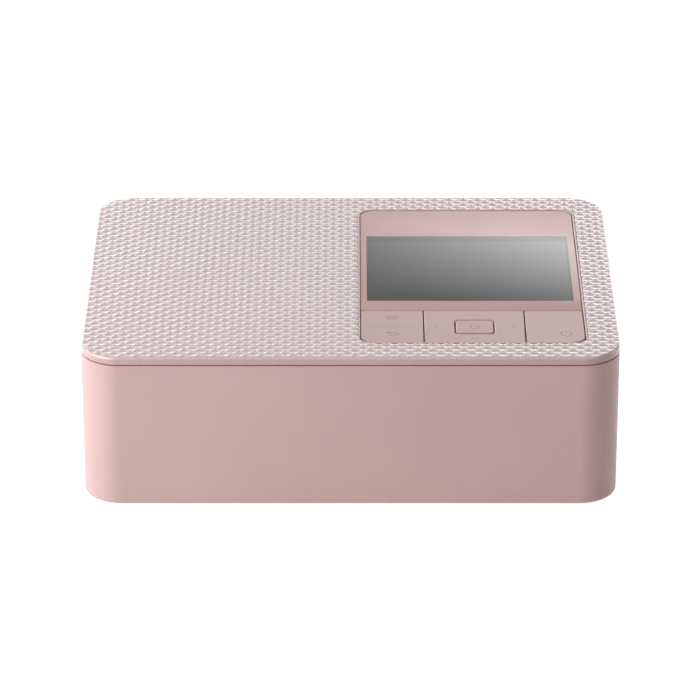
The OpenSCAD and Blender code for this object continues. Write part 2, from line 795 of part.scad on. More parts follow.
module dc_inlet() {
    color(dark) difference() {
        block([dc_x - 4.4, inner_y - 12, port_z], [dc_x + 4.4, half_d - 0.4, port_z + 11]);
        translate([dc_x, half_d + 1, port_z + 6]) rotate([90, 0, 0]) cylinder(r = 3.1, h = 10);
    }
    color(steel) translate([dc_x, half_d - 1.5, port_z + 6]) rotate([90, 0, 0]) cylinder(r = 0.8, h = 8);
}

module usb_port() {
    color(steel) difference() {
        block([usb_x - 4.6, inner_y - 6, port_z], [usb_x + 4.6, half_d - 0.4, port_z + 3.2]);
        block([usb_x - 4.2, inner_y - 4.5, port_z + 0.4], [usb_x + 4.2, half_d + 1, port_z + 2.8]);
    }
    color(dark) block([usb_x - 3.2, inner_y - 5, port_z + 1.1],
        [usb_x + 3.2, half_d - 1.5, port_z + 1.9]);
}

module card_reader() {
    color(steel) difference() {
        block([-inner_x + 0.3, card_y - card_half, card_z],
            [-inner_x + card_l, card_y + card_half, card_z + 3.2]);
        block([-inner_x - 1, card_y - card_half + 1.5, card_z + 0.4],
            [-inner_x + card_l - 2, card_y + card_half - 1.5, card_z + 2.8]);
    }
    color(green) block([-inner_x + 0.3, card_y - card_half, card_z - board_t],
        [-inner_x + card_l, card_y + card_half, card_z]);
}

// Holes for the bushes in one frame plate
module bush_holes(x) {
    for (b = bushes) shaft(b[0], b[1] + bush_wall, x - 1, x + sheet_t + 1);
}

module side_plate(x) {
    block([x, chassis_y0, floor_z], [x + sheet_t, chassis_y1, chassis_top]);
}

module chassis_left() {
    color(steel) {
        difference() {
            side_plate(plate_l - sheet_t);
            bush_holes(plate_l - sheet_t);
            shaft(supply_at, drive_r + 1, plate_l - 3, plate_l + 1);
            shaft(takeup_at, drive_r + 1, plate_l - 3, plate_l + 1);
        }
        // Post for the idler gear and pillars for the motor plate
        shaft(idler_at, idler_post_r, gear_x - 0.5, plate_l - sheet_t + eps);
        for (p = pillar_at) shaft(p, pillar_r, motor_plate_x + sheet_t, plate_l - sheet_t + eps);
    }
}

module chassis_right() {
    color(steel) difference() {
        side_plate(plate_r);
        bush_holes(plate_r);
        // Way in for the ink cassette
        shaft(supply_at, supply_r + 0.4, plate_r - 1, plate_r + 2);
        shaft(takeup_at, takeup_r + 0.4, plate_r - 1, plate_r + 2);
        block([plate_r - 1, supply_at[0], bridge_z - 0.4],
            [plate_r + 2, takeup_at[0], supply_at[1] + supply_r + 0.4]);
    }
    // Peg that guides the ink lever
    color(steel) {
        shaft([lever_y, lever_z], peg_r, plate_r + sheet_t - eps, plate_r + sheet_t + 3);
        shaft([lever_y, lever_z], peg_r + 0.8, plate_r + sheet_t + 2.4, plate_r + sheet_t + 3);
    }
}

module chassis_tray() {
    color(steel) block([plate_l, -14, floor_z], [plate_r, platen_at[0] + 8, floor_z + sheet_t]);
}

module chassis_bridge() {
    color(steel) {
        block([plate_l, chassis_y1 - 4, rear_slot_z + rear_slot_h + 1.5],
            [plate_r, chassis_y1 - 4 + sheet_t, head_at[1] - 6]);
        block([plate_l, chassis_y1 - 10, rear_slot_z + rear_slot_h + 1.5],
            [plate_r, chassis_y1 - 3.5, rear_slot_z + rear_slot_h + 1.5 + sheet_t]);
    }
}

module motor_plate() {
    color(steel) difference() {
        block([motor_plate_x, feed_at[0] - feed_can_r - 1, floor_z + 1],
            [motor_plate_x + sheet_t, chassis_y1, chassis_top + 3]);
        for (m = [feed_at, ribbon_at, lift_at])
            shaft(m, motor_boss_r + 0.4, motor_plate_x - 1, motor_plate_x + 3);
        shaft(head_at, head_shaft_r + 0.5, motor_plate_x - 1, motor_plate_x + 3);
    }
}

module shaft_bushes() {
    color(nylon) for (b = bushes, x = [plate_l - sheet_t - 0.4, plate_r - 0.1]) difference() {
        shaft(b[0], b[1] + bush_wall, x, x + sheet_t + 0.5);
        shaft(b[0], b[1] + fit, x - 1, x + sheet_t + 2);
    }
}

// Motor can on the outer face of the motor plate, with a front bearing
module motor(at, r) {
    difference() {
        union() {
            shaft(at, r, motor_plate_x - can_l, motor_plate_x);
            shaft(at, motor_boss_r, motor_plate_x - can_l - 1, motor_plate_x + sheet_t);
        }
        shaft(at, motor_shaft_r + fit, motor_plate_x - 6, motor_plate_x + 3);
    }
}

module feed_motor() { color(steel) motor(feed_at, feed_can_r); }
module ribbon_motor() { color(steel) motor(ribbon_at, ribbon_can_r); }
module lift_motor() { color(steel) motor(lift_at, lift_can_r); }

// Motor shaft with its pinion
module pinion(at, x, teeth, phase) {
    on_shaft(x, at) gear_disc(teeth, phase, gear_w);
    shaft(at, motor_shaft_r, motor_plate_x - 5, x + eps);
}

module feed_pinion() { color(steel) pinion(feed_at, gear_x, pinion_teeth, feed_phase); }
module ribbon_pinion() { color(steel) pinion(ribbon_at, gear_x, pinion_teeth, ribbon_phase); }
module lift_pinion() { color(steel) pinion(lift_at, sector_x, lift_teeth, lift_phase); }

module capstan_roller() {
    color(steel) {
        shaft(capstan_at, capstan_r, path_x - paper_w / 2 - 5, path_x + paper_w / 2 + 5);
        shaft(capstan_at, capstan_shaft_r, shaft_end, plate_r + sheet_t + 1.5);
    }
}

module capstan_gear() { color(nylon) gear(capstan_at, gear_x, capstan_teeth, 0, capstan_shaft_r); }

module pinch_roller() {
    color(steel) {
        shaft(pinch_at, pinch_r, path_x - paper_w / 2 - 3, path_x + paper_w / 2 + 3);
        shaft(pinch_at, pinch_shaft_r, plate_l - sheet_t - 0.6, plate_r + sheet_t + 1);
    }
}

module idler_gear() { color(nylon) gear(idler_at, gear_x, idler_teeth, idler_phase, idler_post_r + fit); }

module pickup_shaft() {
    color(steel) shaft(pickup_at, pickup_shaft_r, shaft_end, plate_r + sheet_t + 1.5);
}

module pickup_tyre() {
    color(dark) difference() {
        shaft(pickup_at, pickup_r, path_x - pickup_w / 2, path_x + pickup_w / 2);
        shaft(pickup_at, pickup_shaft_r, path_x - pickup_w, path_x + pickup_w);
    }
}

module pickup_gear() { color(nylon) gear(pickup_at, gear_x, pickup_teeth, pickup_phase, pickup_shaft_r); }

module platen_shaft() {
    color(steel) shaft(platen_at, platen_shaft_r, plate_l - sheet_t - 0.8, plate_r + sheet_t + 1.5);
}

module platen_sleeve() {
    color(dark) difference() {
        shaft(platen_at, platen_r, path_x - paper_w / 2 - 2, path_x + paper_w / 2 + 2);
        shaft(platen_at, platen_shaft_r, path_x - paper_w, path_x + paper_w);
    }
}

module head_arm() {
    color(steel) {
        for (x = [arm_l, arm_r]) {
            block([x, head_y - head_depth / 2, bar_z], [x + arm_t, head_at[0], bar_z + bar_h]);
            shaft(head_at, head_shaft_r + 1.5, x, x + arm_t);
        }
        block([arm_l, head_y - head_depth / 2, bar_z],
            [arm_r + arm_t, head_y + head_depth / 2 + 2, bar_z + arm_t]);
        shaft(head_at, head_shaft_r, sector_x - 0.6, plate_r + sheet_t + 1);
    }
}

module head_heatsink() {
    fin_step = head_w / sink_fins;
    color([0.82, 0.83, 0.84]) difference() {
        block([path_x - head_w / 2, head_y - head_depth / 2, head_z + ceramic_t],
            [path_x + head_w / 2, head_y + head_depth / 2, bar_z]);
        for (i = [0:sink_fins - 1]) translate([path_x - head_w / 2 + i * fin_step, 0, 0])
            block([0.3 * fin_step, head_y - head_depth, head_z + ceramic_t + 2.5],
                [0.7 * fin_step, head_y - 1, bar_z - 1]);
    }
}

module print_head() {
    color(nylon) {
        block([path_x - head_w / 2, head_y - head_depth / 2, head_z + 0.4],
            [path_x + head_w / 2, head_y + head_depth / 2, head_z + ceramic_t]);
        block([path_x - paper_w / 2, head_y - 0.8, head_z],
            [path_x + paper_w / 2, head_y + 0.8, head_z + 0.4]);
    }
}

module head_sector() {
    color(nylon) on_shaft(sector_x, head_at) difference() {
        intersection() {
            gear_disc(sector_teeth, 0, gear_w);
            union() {
                linear_extrude(gear_w) polygon([[0, 0], polar([0, 0], 40, 180 - head_drop - 10),
                    polar([0, 0], 40, 190)]);
                cylinder(r = head_shaft_r + 3, h = gear_w);
            }
        }
        translate([0, 0, -1]) cylinder(r = head_shaft_r, h = gear_w + 2);
    }
}

// One film tube of the cassette, closed at both ends around the spool's journals
module film_tube(at, r, slit) {
    difference() {
        shaft(at, r, tube_x0, tube_x1);
        shaft(at, r - tube_t, tube_x0 + 1.5, tube_x1 - 1.5);
        shaft(at, spool_pin_r + fit, tube_x0 - 1, tube_x1 + 1);
        // Slit that the film passes through, facing the print window
        block([path_x - paper_w / 2 - 2, min(at[0], at[0] + slit), at[1] - r + 2],
            [path_x + paper_w / 2 + 2, max(at[0], at[0] + slit), at[1] - r + 3.6]);
    }
}

module ink_case() {
    color([0.25, 0.25, 0.27]) {
        film_tube(supply_at, supply_r, 12);
        film_tube(takeup_at, takeup_r, -12);
        for (x = [tube_x0, tube_x1 - 4])
            block([x, supply_at[0] + supply_r - 1.2, bridge_z],
                [x + 4, takeup_at[0] - takeup_r + 1.2, bridge_z + bridge_h]);
        // Grip at the end that faces the ink door
        block([tube_x1 - 4, supply_at[0] + 10, bridge_z],
            [tube_x1 + 2.6, takeup_at[0] - 8, bridge_z + bridge_h]);
    }
}

module spool(at) {
    color(nylon) difference() {
        union() {
            shaft(at, core_r, tube_x0 + 1.8, tube_x1 - 1.8);
            shaft(at, spool_pin_r, tube_x0 - 0.5, tube_x1 + 0.5);
        }
        shaft(at, drive_r, tube_x0 - 2, tube_x0 + 6);
    }
}

module film_roll(at, r) {
    color([0.30, 0.10, 0.22]) difference() {
        shaft(at, r, path_x - paper_w / 2, path_x + paper_w / 2);
        shaft(at, core_r, path_x - paper_w, path_x + paper_w);
    }
}

module supply_spool() { spool(supply_at); }
module supply_film() { film_roll(supply_at, supply_film_r); }
module takeup_spool() { spool(takeup_at); }
module takeup_film() { film_roll(takeup_at, takeup_film_r); }

module supply_hub() {
    color(nylon) {
        shaft(supply_at, drive_r, plate_l - sheet_t - 1, tube_x0 + 5);
        shaft(supply_at, drive_r + 2, plate_l + 0.3, plate_l + 3);
        shaft(supply_at, drive_r + 2, plate_l - sheet_t - 1, plate_l - sheet_t - 0.3);
    }
}

module takeup_gear() {
    color(nylon) {
        on_shaft(gear_x, takeup_at) gear_disc(takeup_teeth, 0, gear_w);
        shaft(takeup_at, drive_r, gear_x, tube_x0 + 5);
        shaft(takeup_at, drive_r + 2, plate_l + 0.3, plate_l + 3);
    }
}

// Lever beside the cassette's way in; it slides up to let the cassette go
module ink_lever() {
    color([0.85, 0.45, 0.20]) {
        difference() {
            block([plate_r + sheet_t + 0.3, lever_y - 4, lever_z - 4.5],
                [plate_r + sheet_t + 2.1, lever_y + 4, lever_z + 4.5]);
            block([plate_r, lever_y - peg_r - 0.1, lever_z - peg_r - lever_travel - 0.1],
                [plate_r + 5, lever_y + peg_r + 0.1, lever_z + peg_r + 0.1]);
        }
        block([plate_r + sheet_t + 2, lever_y - 3, lever_z - 4.5], [plate_r + sheet_t + 6,
            lever_y + 3, lever_z - 3.8 + eps]);
    }
}

module frame_screws() {
    color(steel) for (p = pillar_at) shaft(p, pillar_r + 0.6, motor_plate_x - 1.4, motor_plate_x);
}

base_shell();
lid_cover();
front_door();
ink_door();
slot_fascia();
feet();
lid_screws();
panel_frame();
display_window();
display_module();
menu_key();
nav_gimbal();
nav_pad();
ok_key();
power_key();
key_board();
main_board();
dc_inlet();
usb_port();
card_reader();
chassis_left();
chassis_right();
chassis_tray();
chassis_bridge();
motor_plate();
shaft_bushes();
feed_motor();
ribbon_motor();
lift_motor();
feed_pinion();
ribbon_pinion();
lift_pinion();
capstan_roller();
capstan_gear();
pinch_roller();
idler_gear();
pickup_shaft();
pickup_tyre();
pickup_gear();
platen_shaft();
platen_sleeve();
head_arm();
head_heatsink();
print_head();
head_sector();
ink_case();
supply_spool();
supply_film();
supply_hub();
takeup_spool();
takeup_film();
takeup_gear();
ink_lever();
frame_screws();
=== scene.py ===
import math

import bmesh
import bpy
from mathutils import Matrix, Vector


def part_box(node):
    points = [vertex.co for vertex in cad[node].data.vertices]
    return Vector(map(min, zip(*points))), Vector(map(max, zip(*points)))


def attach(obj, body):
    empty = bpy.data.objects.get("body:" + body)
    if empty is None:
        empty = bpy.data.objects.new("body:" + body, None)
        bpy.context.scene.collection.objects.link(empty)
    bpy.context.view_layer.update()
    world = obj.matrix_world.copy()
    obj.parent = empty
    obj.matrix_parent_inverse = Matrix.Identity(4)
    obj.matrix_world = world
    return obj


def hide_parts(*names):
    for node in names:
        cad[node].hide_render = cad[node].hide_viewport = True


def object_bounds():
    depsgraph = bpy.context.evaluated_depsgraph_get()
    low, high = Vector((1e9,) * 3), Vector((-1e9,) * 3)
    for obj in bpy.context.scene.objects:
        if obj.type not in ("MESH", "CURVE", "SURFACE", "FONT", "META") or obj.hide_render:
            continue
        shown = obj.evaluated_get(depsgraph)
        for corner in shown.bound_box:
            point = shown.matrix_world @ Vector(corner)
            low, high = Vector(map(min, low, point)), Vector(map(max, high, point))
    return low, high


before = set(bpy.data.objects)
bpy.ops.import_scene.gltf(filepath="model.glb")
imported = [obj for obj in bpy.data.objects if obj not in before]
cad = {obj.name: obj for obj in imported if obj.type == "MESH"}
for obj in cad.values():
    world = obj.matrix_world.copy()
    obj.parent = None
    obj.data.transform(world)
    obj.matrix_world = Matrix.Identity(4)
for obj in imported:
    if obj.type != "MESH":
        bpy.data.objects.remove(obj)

cad_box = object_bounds()
MM = 0.001
body_high = Vector(cad_box[1])


# ---------------------------------------------------------------------------------------------
# Room: a pale studio sweep under soft light. The floor is a wide sheet that carries the
# printer's shadow, with the main lamps at the left and weaker ones above and at the right.
# ---------------------------------------------------------------------------------------------
def deselect():
    if bpy.context.object and bpy.context.object.mode != "OBJECT":
        bpy.ops.object.mode_set(mode="OBJECT")
    bpy.ops.object.select_all(action="DESELECT")


def node_material(name):
    """New material with a Principled shader, and its node tree, shader and Object coordinates."""
    mat = bpy.data.materials.new(name)
    mat.use_nodes = True
    tree = mat.node_tree
    shader = tree.nodes["Principled BSDF"]
    coords = tree.nodes.new("ShaderNodeTexCoord")
    return mat, tree, shader, coords.outputs["Object"]


def white_for_rays(tree, lit, strength):
    """Adds white to a shader for camera, glossy and transmission rays."""
    path = tree.nodes.new("ShaderNodeLightPath")
    seen = tree.nodes.new("ShaderNodeMath")
    seen.operation = "MAXIMUM"
    tree.links.new(path.outputs["Is Camera Ray"], seen.inputs[0])
    tree.links.new(path.outputs["Is Glossy Ray"], seen.inputs[1])
    also = tree.nodes.new("ShaderNodeMath")
    also.operation = "MAXIMUM"
    tree.links.new(seen.outputs[0], also.inputs[0])
    tree.links.new(path.outputs["Is Transmission Ray"], also.inputs[1])
    level = tree.nodes.new("ShaderNodeMath")
    level.operation = "MULTIPLY"
    level.inputs[1].default_value = strength
    tree.links.new(also.outputs[0], level.inputs[0])
    glow = tree.nodes.new("ShaderNodeEmission")
    tree.links.new(level.outputs[0], glow.inputs["Strength"])
    add = tree.nodes.new("ShaderNodeAddShader")
    tree.links.new(lit, add.inputs[0])
    tree.links.new(glow.outputs[0], add.inputs[1])
    return add.outputs[0]


deselect()
bpy.ops.mesh.primitive_plane_add(size=6, location=(0, 0, 0))
floor = bpy.context.object
floor.name = "floor"
bpy.ops.object.mode_set(mode="EDIT")
bpy.ops.mesh.subdivide(number_cuts=3)
bpy.ops.object.mode_set(mode="OBJECT")
sheet, sheet_tree, sheet_shader, sheet_coords = node_material("floor_paper")
sheet_shader.inputs["Base Color"].default_value = (0.86, 0.86, 0.86, 1)
sheet_shader.inputs["Roughness"].default_value = 0.9
sheet_shader.inputs["Specular IOR Level"].default_value = 0.1
sheet_out = sheet_tree.nodes["Material Output"]
sheet_tree.links.new(
    white_for_rays(sheet_tree, sheet_shader.outputs[0], 0.9), sheet_out.inputs["Surface"]
)
floor.data.materials.append(sheet)

world = bpy.data.worlds.new("room")
bpy.context.scene.world = world
world.use_nodes = True
back = world.node_tree.nodes["Background"]
back.inputs["Color"].default_value = (1, 1, 1, 1)
back.inputs["Strength"].default_value = 0.06
world_out = world.node_tree.nodes["World Output"]
world.node_tree.links.new(
    white_for_rays(world.node_tree, back.outputs[0], 0.94), world_out.inputs["Surface"]
)


def lamp(name, place, size, power):
    """Soft square lamp that points at the middle of the printer."""
    data = bpy.data.lights.new(name, "AREA")
    data.shape = "RECTANGLE"
    data.size, data.size_y = size
    data.energy = power
    light = bpy.data.objects.new(name, data)
    bpy.context.scene.collection.objects.link(light)
    light.location = place
    aim = Vector((0, 0, 0.03)) - Vector(place)
    light.rotation_euler = aim.to_track_quat("-Z", "Y").to_euler()
    return light


lamp("left_lamp", (-0.73, -0.32, 0.42), (1.3, 0.8), 6.2)
lamp("front_left_lamp", (-0.62, -0.46, 0.28), (0.6, 0.4), 2.7)
lamp("top_lamp", (-0.2, 0.2, 1.3), (1.2, 1.2), 4)
lamp("right_lamp", (1.2, 0.25, 0.35), (0.6, 0.6), 2.4)

# Two box lamps stand side by side behind the printer, low down. Drawn as one sheet of light, it
# fades towards its top edge and towards the gap between the boxes, and the window mirrors that.
# The top edge, its fade and the glow start from a value at the gap and rise away from it. Under
# band_foot the sheet keeps only its lower_share.
box_w, box_h = 2.0, 0.64
gap_at = -0.03
box_top, top_rise = 0.6245, 0.1
edge_fade, edge_fade_rise = 7, 310
gap_glow, gap_glow_rise = 0.5, 20
full_glow = 3.0
band_foot, band_fade = 0.5425, 20
lower_share = 0.55
box_data = bpy.data.lights.new("back_lamp", "AREA")
box_data.shape = "RECTANGLE"
box_data.size, box_data.size_y = box_w, box_h
box_data.energy = 4 * box_w * box_h
box_data.use_nodes = True
box_tree = box_data.node_tree


def sum_up(kind, first, second, third=None):
    """Math node on sockets or numbers, for the lamp's fading."""
    node = box_tree.nodes.new("ShaderNodeMath")
    node.operation = kind
    for socket, value in zip(node.inputs, (first, second, third)):
        if isinstance(value, bpy.types.NodeSocket):
            box_tree.links.new(value, socket)
        elif value is not None:
            socket.default_value = value
    return node.outputs[0]


spot = box_tree.nodes.new("ShaderNodeNewGeometry")
axes = box_tree.nodes.new("ShaderNodeSeparateXYZ")
box_tree.links.new(spot.outputs["Position"], axes.inputs[0])
aside = sum_up("ABSOLUTE", sum_up("SUBTRACT", axes.outputs["X"], gap_at), None)
below_top = sum_up("SUBTRACT", sum_up("MULTIPLY_ADD", aside, top_rise, box_top), axes.outputs["Z"])
fade = sum_up("MULTIPLY", below_top, sum_up("MULTIPLY_ADD", aside, edge_fade_rise, edge_fade))
most = sum_up("MINIMUM", sum_up("MULTIPLY_ADD", aside, gap_glow_rise, gap_glow), full_glow)
band = sum_up("MULTIPLY_ADD", axes.outputs["Z"], band_fade, -band_fade * band_foot)
most = sum_up("MULTIPLY", most, sum_up("MINIMUM", sum_up("MAXIMUM", band, lower_share), 1.0))
glow = sum_up("MAXIMUM", sum_up("MINIMUM", fade, most), 0.0)
box_tree.links.new(glow, box_tree.nodes["Emission"].inputs["Strength"])
box_lamp = bpy.data.objects.new("back_lamp", box_data)
bpy.context.scene.collection.objects.link(box_lamp)
box_lamp.location = (0, 1.2, 0.02 + box_h / 2)
box_lamp.rotation_euler = (math.radians(-90), 0, 0)

camera_data = bpy.data.cameras.new("photo_camera")
camera = bpy.data.objects.new("photo_camera", camera_data)
bpy.context.scene.collection.objects.link(camera)
distance, elevation = 1.4723, math.radians(25.94)
target = Vector((0, 0, 0.0288))
frame_px, focal_px = 700, 4180.8
middle_px = (350.33, 348.02)
camera.location = target + distance * Vector((0, -math.cos(elevation), math.sin(elevation)))
camera.rotation_euler = (math.pi / 2 - elevation, 0, 0)
camera_data.sensor_width = 36
camera_data.lens = focal_px / frame_px * camera_data.sensor_width
camera_data.shift_x = -(middle_px[0] - frame_px / 2) / frame_px
camera_data.shift_y = (middle_px[1] - frame_px / 2) / frame_px
camera_data.clip_start = 0.05
bpy.context.scene.camera = camera
bpy.context.scene.view_settings.view_transform = "Standard"


# ---------------------------------------------------------------------------------------------
# Case: base shell, front door and ink door, injection-moulded ABS in pale pink with a fine
# spark-eroded grain. The moulded edges along the seam are slightly rounded.
# ---------------------------------------------------------------------------------------------
def noise(tree, coords, scale, detail=2.0, stretch=None):
    """Noise texture on Object coordinates, drawn out along an axis where stretch is given."""
    tex = tree.nodes.new("ShaderNodeTexNoise")
    tex.inputs["Scale"].default_value = scale
    tex.inputs["Detail"].default_value = detail
    if stretch:
        turn = tree.nodes.new("ShaderNodeMapping")
        turn.inputs["Scale"].default_value = stretch
        tree.links.new(coords, turn.inputs["Vector"])
        coords = turn.outputs["Vector"]
    tree.links.new(coords, tex.inputs["Vector"])
    return tex.outputs["Fac"]


def ranged(tree, value, low, high, start=0.3, end=0.7):
    """Value brought from start..end to low..high."""
    node = tree.nodes.new("ShaderNodeMapRange")
    node.inputs["From Min"].default_value = start
    node.inputs["From Max"].default_value = end
    node.inputs["To Min"].default_value = low
    node.inputs["To Max"].default_value = high
    tree.links.new(value, node.inputs["Value"])
    return node.outputs["Result"]


def two_tone(tree, value, first, second, start=0.35, end=0.65):
    """Colour that goes from the first to the second as the value goes from start to end."""
    ramp = tree.nodes.new("ShaderNodeValToRGB")
    ramp.color_ramp.elements[0].position = start
    ramp.color_ramp.elements[0].color = (*first, 1)
    ramp.color_ramp.elements[1].position = end
    ramp.color_ramp.elements[1].color = (*second, 1)
    tree.links.new(value, ramp.inputs["Fac"])
    return ramp.outputs["Color"]


def bumped(tree, value, depth, strength=0.5, after=None):
    """Normal from a height, laid over an earlier one where after is given."""
    node = tree.nodes.new("ShaderNodeBump")
    node.inputs["Strength"].default_value = strength
    node.inputs["Distance"].default_value = depth
    tree.links.new(value, node.inputs["Height"])
    if after:
        tree.links.new(after, node.inputs["Normal"])
    return node.outputs["Normal"]


def shade(colour, factor):
    """Colour made lighter or darker, kept within 1."""
    return tuple(min(1.0, c * factor) for c in colour)


def finish(name, colour, rough, grain, depth, metal=0.0, stretch=None, spread=0.04, coat=0.0, spec=0.5):
    """Moulded or machined finish: grain in the bump, cloudy roughness and a slight drift of colour."""
    mat, tree, shader, coords = node_material(name)
    fine = noise(tree, coords, 1 / grain, 3.0, stretch)
    cloud = noise(tree, coords, 45, 2.0)
    tone = two_tone(tree, cloud, shade(colour, 1 - spread), shade(colour, 1 + spread))
    tree.links.new(tone, shader.inputs["Base Color"])
    tree.links.new(ranged(tree, fine, rough * 0.85, rough * 1.15), shader.inputs["Roughness"])
    tree.links.new(bumped(tree, fine, depth), shader.inputs["Normal"])
    shader.inputs["Metallic"].default_value = metal
    shader.inputs["Coat Weight"].default_value = coat
    shader.inputs["Coat Roughness"].default_value = 0.12
    shader.inputs["Specular IOR Level"].default_value = spec
    return mat


def dress(name, *materials):
    """Gives a carried-over CAD piece its material."""
    piece = cad[name]
    piece.data.materials.clear()
    for mat in materials:
        piece.data.materials.append(mat)
    return piece


def copy_of(node, name):
    """Merged copy of a CAD piece, ready to be worked on."""
    deselect()
    mesh = cad[node].data.copy()
    mesh.materials.clear()
    piece = bpy.data.objects.new(name, mesh)
    bpy.context.scene.collection.objects.link(piece)
    bpy.context.view_layer.objects.active = piece
    piece.select_set(True)
    bpy.ops.object.mode_set(mode="EDIT")
    bpy.ops.mesh.select_all(action="SELECT")
    bpy.ops.mesh.remove_doubles(threshold=1e-6)
    bpy.ops.mesh.dissolve_limited(angle_limit=math.radians(0.5))
    bpy.ops.mesh.select_all(action="DESELECT")
    bpy.ops.object.mode_set(mode="OBJECT")
    return piece


def start_picking(piece, kind):
    """Puts a piece in edit mode with nothing selected, and gives its mesh."""
    bpy.context.view_layer.objects.active = piece
    if piece.mode != "EDIT":
        bpy.ops.object.mode_set(mode="EDIT")
    bpy.ops.mesh.select_mode(type=kind)
    bpy.ops.mesh.select_all(action="DESELECT")
    return bmesh.from_edit_mesh(piece.data)


def pick_edges(piece, test):
    """Selects the edges for which test(a, b, edge) holds, and says whether there are any."""
    mesh = start_picking(piece, "EDGE")
    found = [edge for edge in mesh.edges if test(edge.verts[0].co, edge.verts[1].co, edge)]
    for edge in found:
        edge.select_set(True)
    bmesh.update_edit_mesh(piece.data)
    return bool(found)


def pick_faces(piece, test):
    """Selects the faces for which test(face) holds."""
    mesh = start_picking(piece, "FACE")
    for face in mesh.faces:
        if test(face):
            face.select_set(True)
    bmesh.update_edit_mesh(piece.data)


def pick_top(piece, height):
    """Selects the level faces of a piece at or above a height in millimetres."""
    low = (height - 0.01) * MM
    pick_faces(piece, lambda face: face.normal.z > 0.9 and face.calc_center_median().z > low)


def round_picked(radius, segments):
    """Rounds the selected edges to a radius in millimetres."""
    bpy.ops.mesh.bevel(offset=radius * MM, segments=segments, affect="EDGES", clamp_overlap=True)


def settle(piece, body, slot, *materials, angle=35):
    """Ends the work on a piece: smooth by angle, material and body. The slot argument is not used."""
    if piece.mode != "OBJECT":
        bpy.ops.object.mode_set(mode="OBJECT")
    deselect()
    piece.select_set(True)
    bpy.context.view_layer.objects.active = piece
    bpy.ops.object.shade_smooth_by_angle(angle=math.radians(angle))
    weigh = piece.modifiers.new("weigh", "WEIGHTED_NORMAL")
    weigh.keep_sharp = True
    bpy.ops.object.modifier_apply(modifier="weigh")
    for mat in materials:
        piece.data.materials.append(mat)
    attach(piece, body)
    deselect()
    return piece


pink = (0.615, 0.415, 0.395)
case_plastic = finish("case_plastic", pink, 0.42, 0.0003, 0.000006, spread=0.012, spec=0.6)
corner_r = 13.0
case_top = 54.55
seam_drop = 0.2
seam_radius = 0.3


def on_outline(point):
    """True for a point on the printer's rounded-rectangle outline."""
    dx = max(abs(point.x) - (body_high.x - corner_r * MM), 0)
    dy = max(abs(point.y) - (body_high.y - corner_r * MM), 0)
    return math.hypot(dx, dy) > (corner_r - 0.05) * MM


def soften_seam(node, name, slot, body):
    """Copy of a case piece whose upper outer edge is rounded along the seam under the lid."""
    piece = copy_of(node, name)
    pick_top(piece, case_top)
    bpy.ops.transform.translate(value=(0, 0, -seam_drop * MM))
    level = (case_top - seam_drop) * MM

    def seam_edge(a, b, edge):
        high = abs(a.z - level) < 1e-6 and abs(b.z - level) < 1e-6
        return high and on_outline(a) and on_outline(b)

    if pick_edges(piece, seam_edge):
        round_picked(seam_radius, 3)
    settle(piece, body, slot, case_plastic)
    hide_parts(node)
    return piece


soften_seam("base_shell", "case_shell", "shell_pink", "case")
soften_seam("front_door", "door_moulding", "shell_pink", "front_door")


def rounded(node, name, body, slot, radius, test, *materials, segments=3):
    """Copy of a CAD piece with the edges rounded for which test(a, b, edge) holds."""
    piece = copy_of(node, name)
    if pick_edges(piece, test):
        round_picked(radius, segments)
    settle(piece, body, slot, *materials)
    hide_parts(node)
    return piece


def turns_sharply(edge):
    """True for an outward edge that turns by more than 50 degrees."""
    return len(edge.link_faces) == 2 and edge.is_convex and edge.calc_face_angle() > math.radians(50)


ink_door_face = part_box("ink_door")[1][0]


def ink_door_rim(a, b, edge):
    outside = min(a.x, b.x) > ink_door_face - 1e-6
    return outside and turns_sharply(edge)


rounded("ink_door", "ink_door_moulding", "ink_door", "shell_pink", 0.25, ink_door_rim, case_plastic)


# ---------------------------------------------------------------------------------------------
# Inner front: moulded wall behind the front door with the mouth for the paper cassette. The
# mouth's edges are well rounded so that the cassette slides in without catching.
# ---------------------------------------------------------------------------------------------
fascia_low, fascia_high = (Vector(p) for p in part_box("slot_fascia"))


def mouth_edge(a, b, edge):
    front = max(a.y, b.y) < fascia_low.y + 1e-6
    inward = min(a.x, b.x) > fascia_low.x + MM and max(a.x, b.x) < fascia_high.x - MM
    return front and inward and turns_sharply(edge)


rounded("slot_fascia", "slot_fascia_moulding", "case", "shell_pink", 0.7, mouth_edge, case_plastic)


# ---------------------------------------------------------------------------------------------
# Lid: one moulding with a lattice of small shallow dimples all over its top, a smooth side band
# and a soft top edge. It sits on the case on a skirt and holds the panel frame.
# ---------------------------------------------------------------------------------------------
lid_top = 57.6
seam_z = 54.8
pit_x, pit_y = 2.6085, 2.1115
pit_depth = 0.52
pit_corner = 0.95
pit_crease = 0.65
pit_at = (4.4085, 1.6)
sheet_x, sheet_y = 100, 75
block_deep = 16


def combine(piece, tool, operation):
    """Boolean of two pieces; the tool is used up."""
    if bpy.context.object.mode != "OBJECT":
        bpy.ops.object.mode_set(mode="OBJECT")
    deselect()
    bpy.context.view_layer.objects.active = piece
    piece.select_set(True)
    step = piece.modifiers.new("combine", "BOOLEAN")
    step.operation = operation
    step.solver = "MANIFOLD"
    step.object = tool
    bpy.ops.object.modifier_apply(modifier="combine")
    bpy.data.objects.remove(tool)
    return piece


lid = copy_of("lid_cover", "lid_moulding")

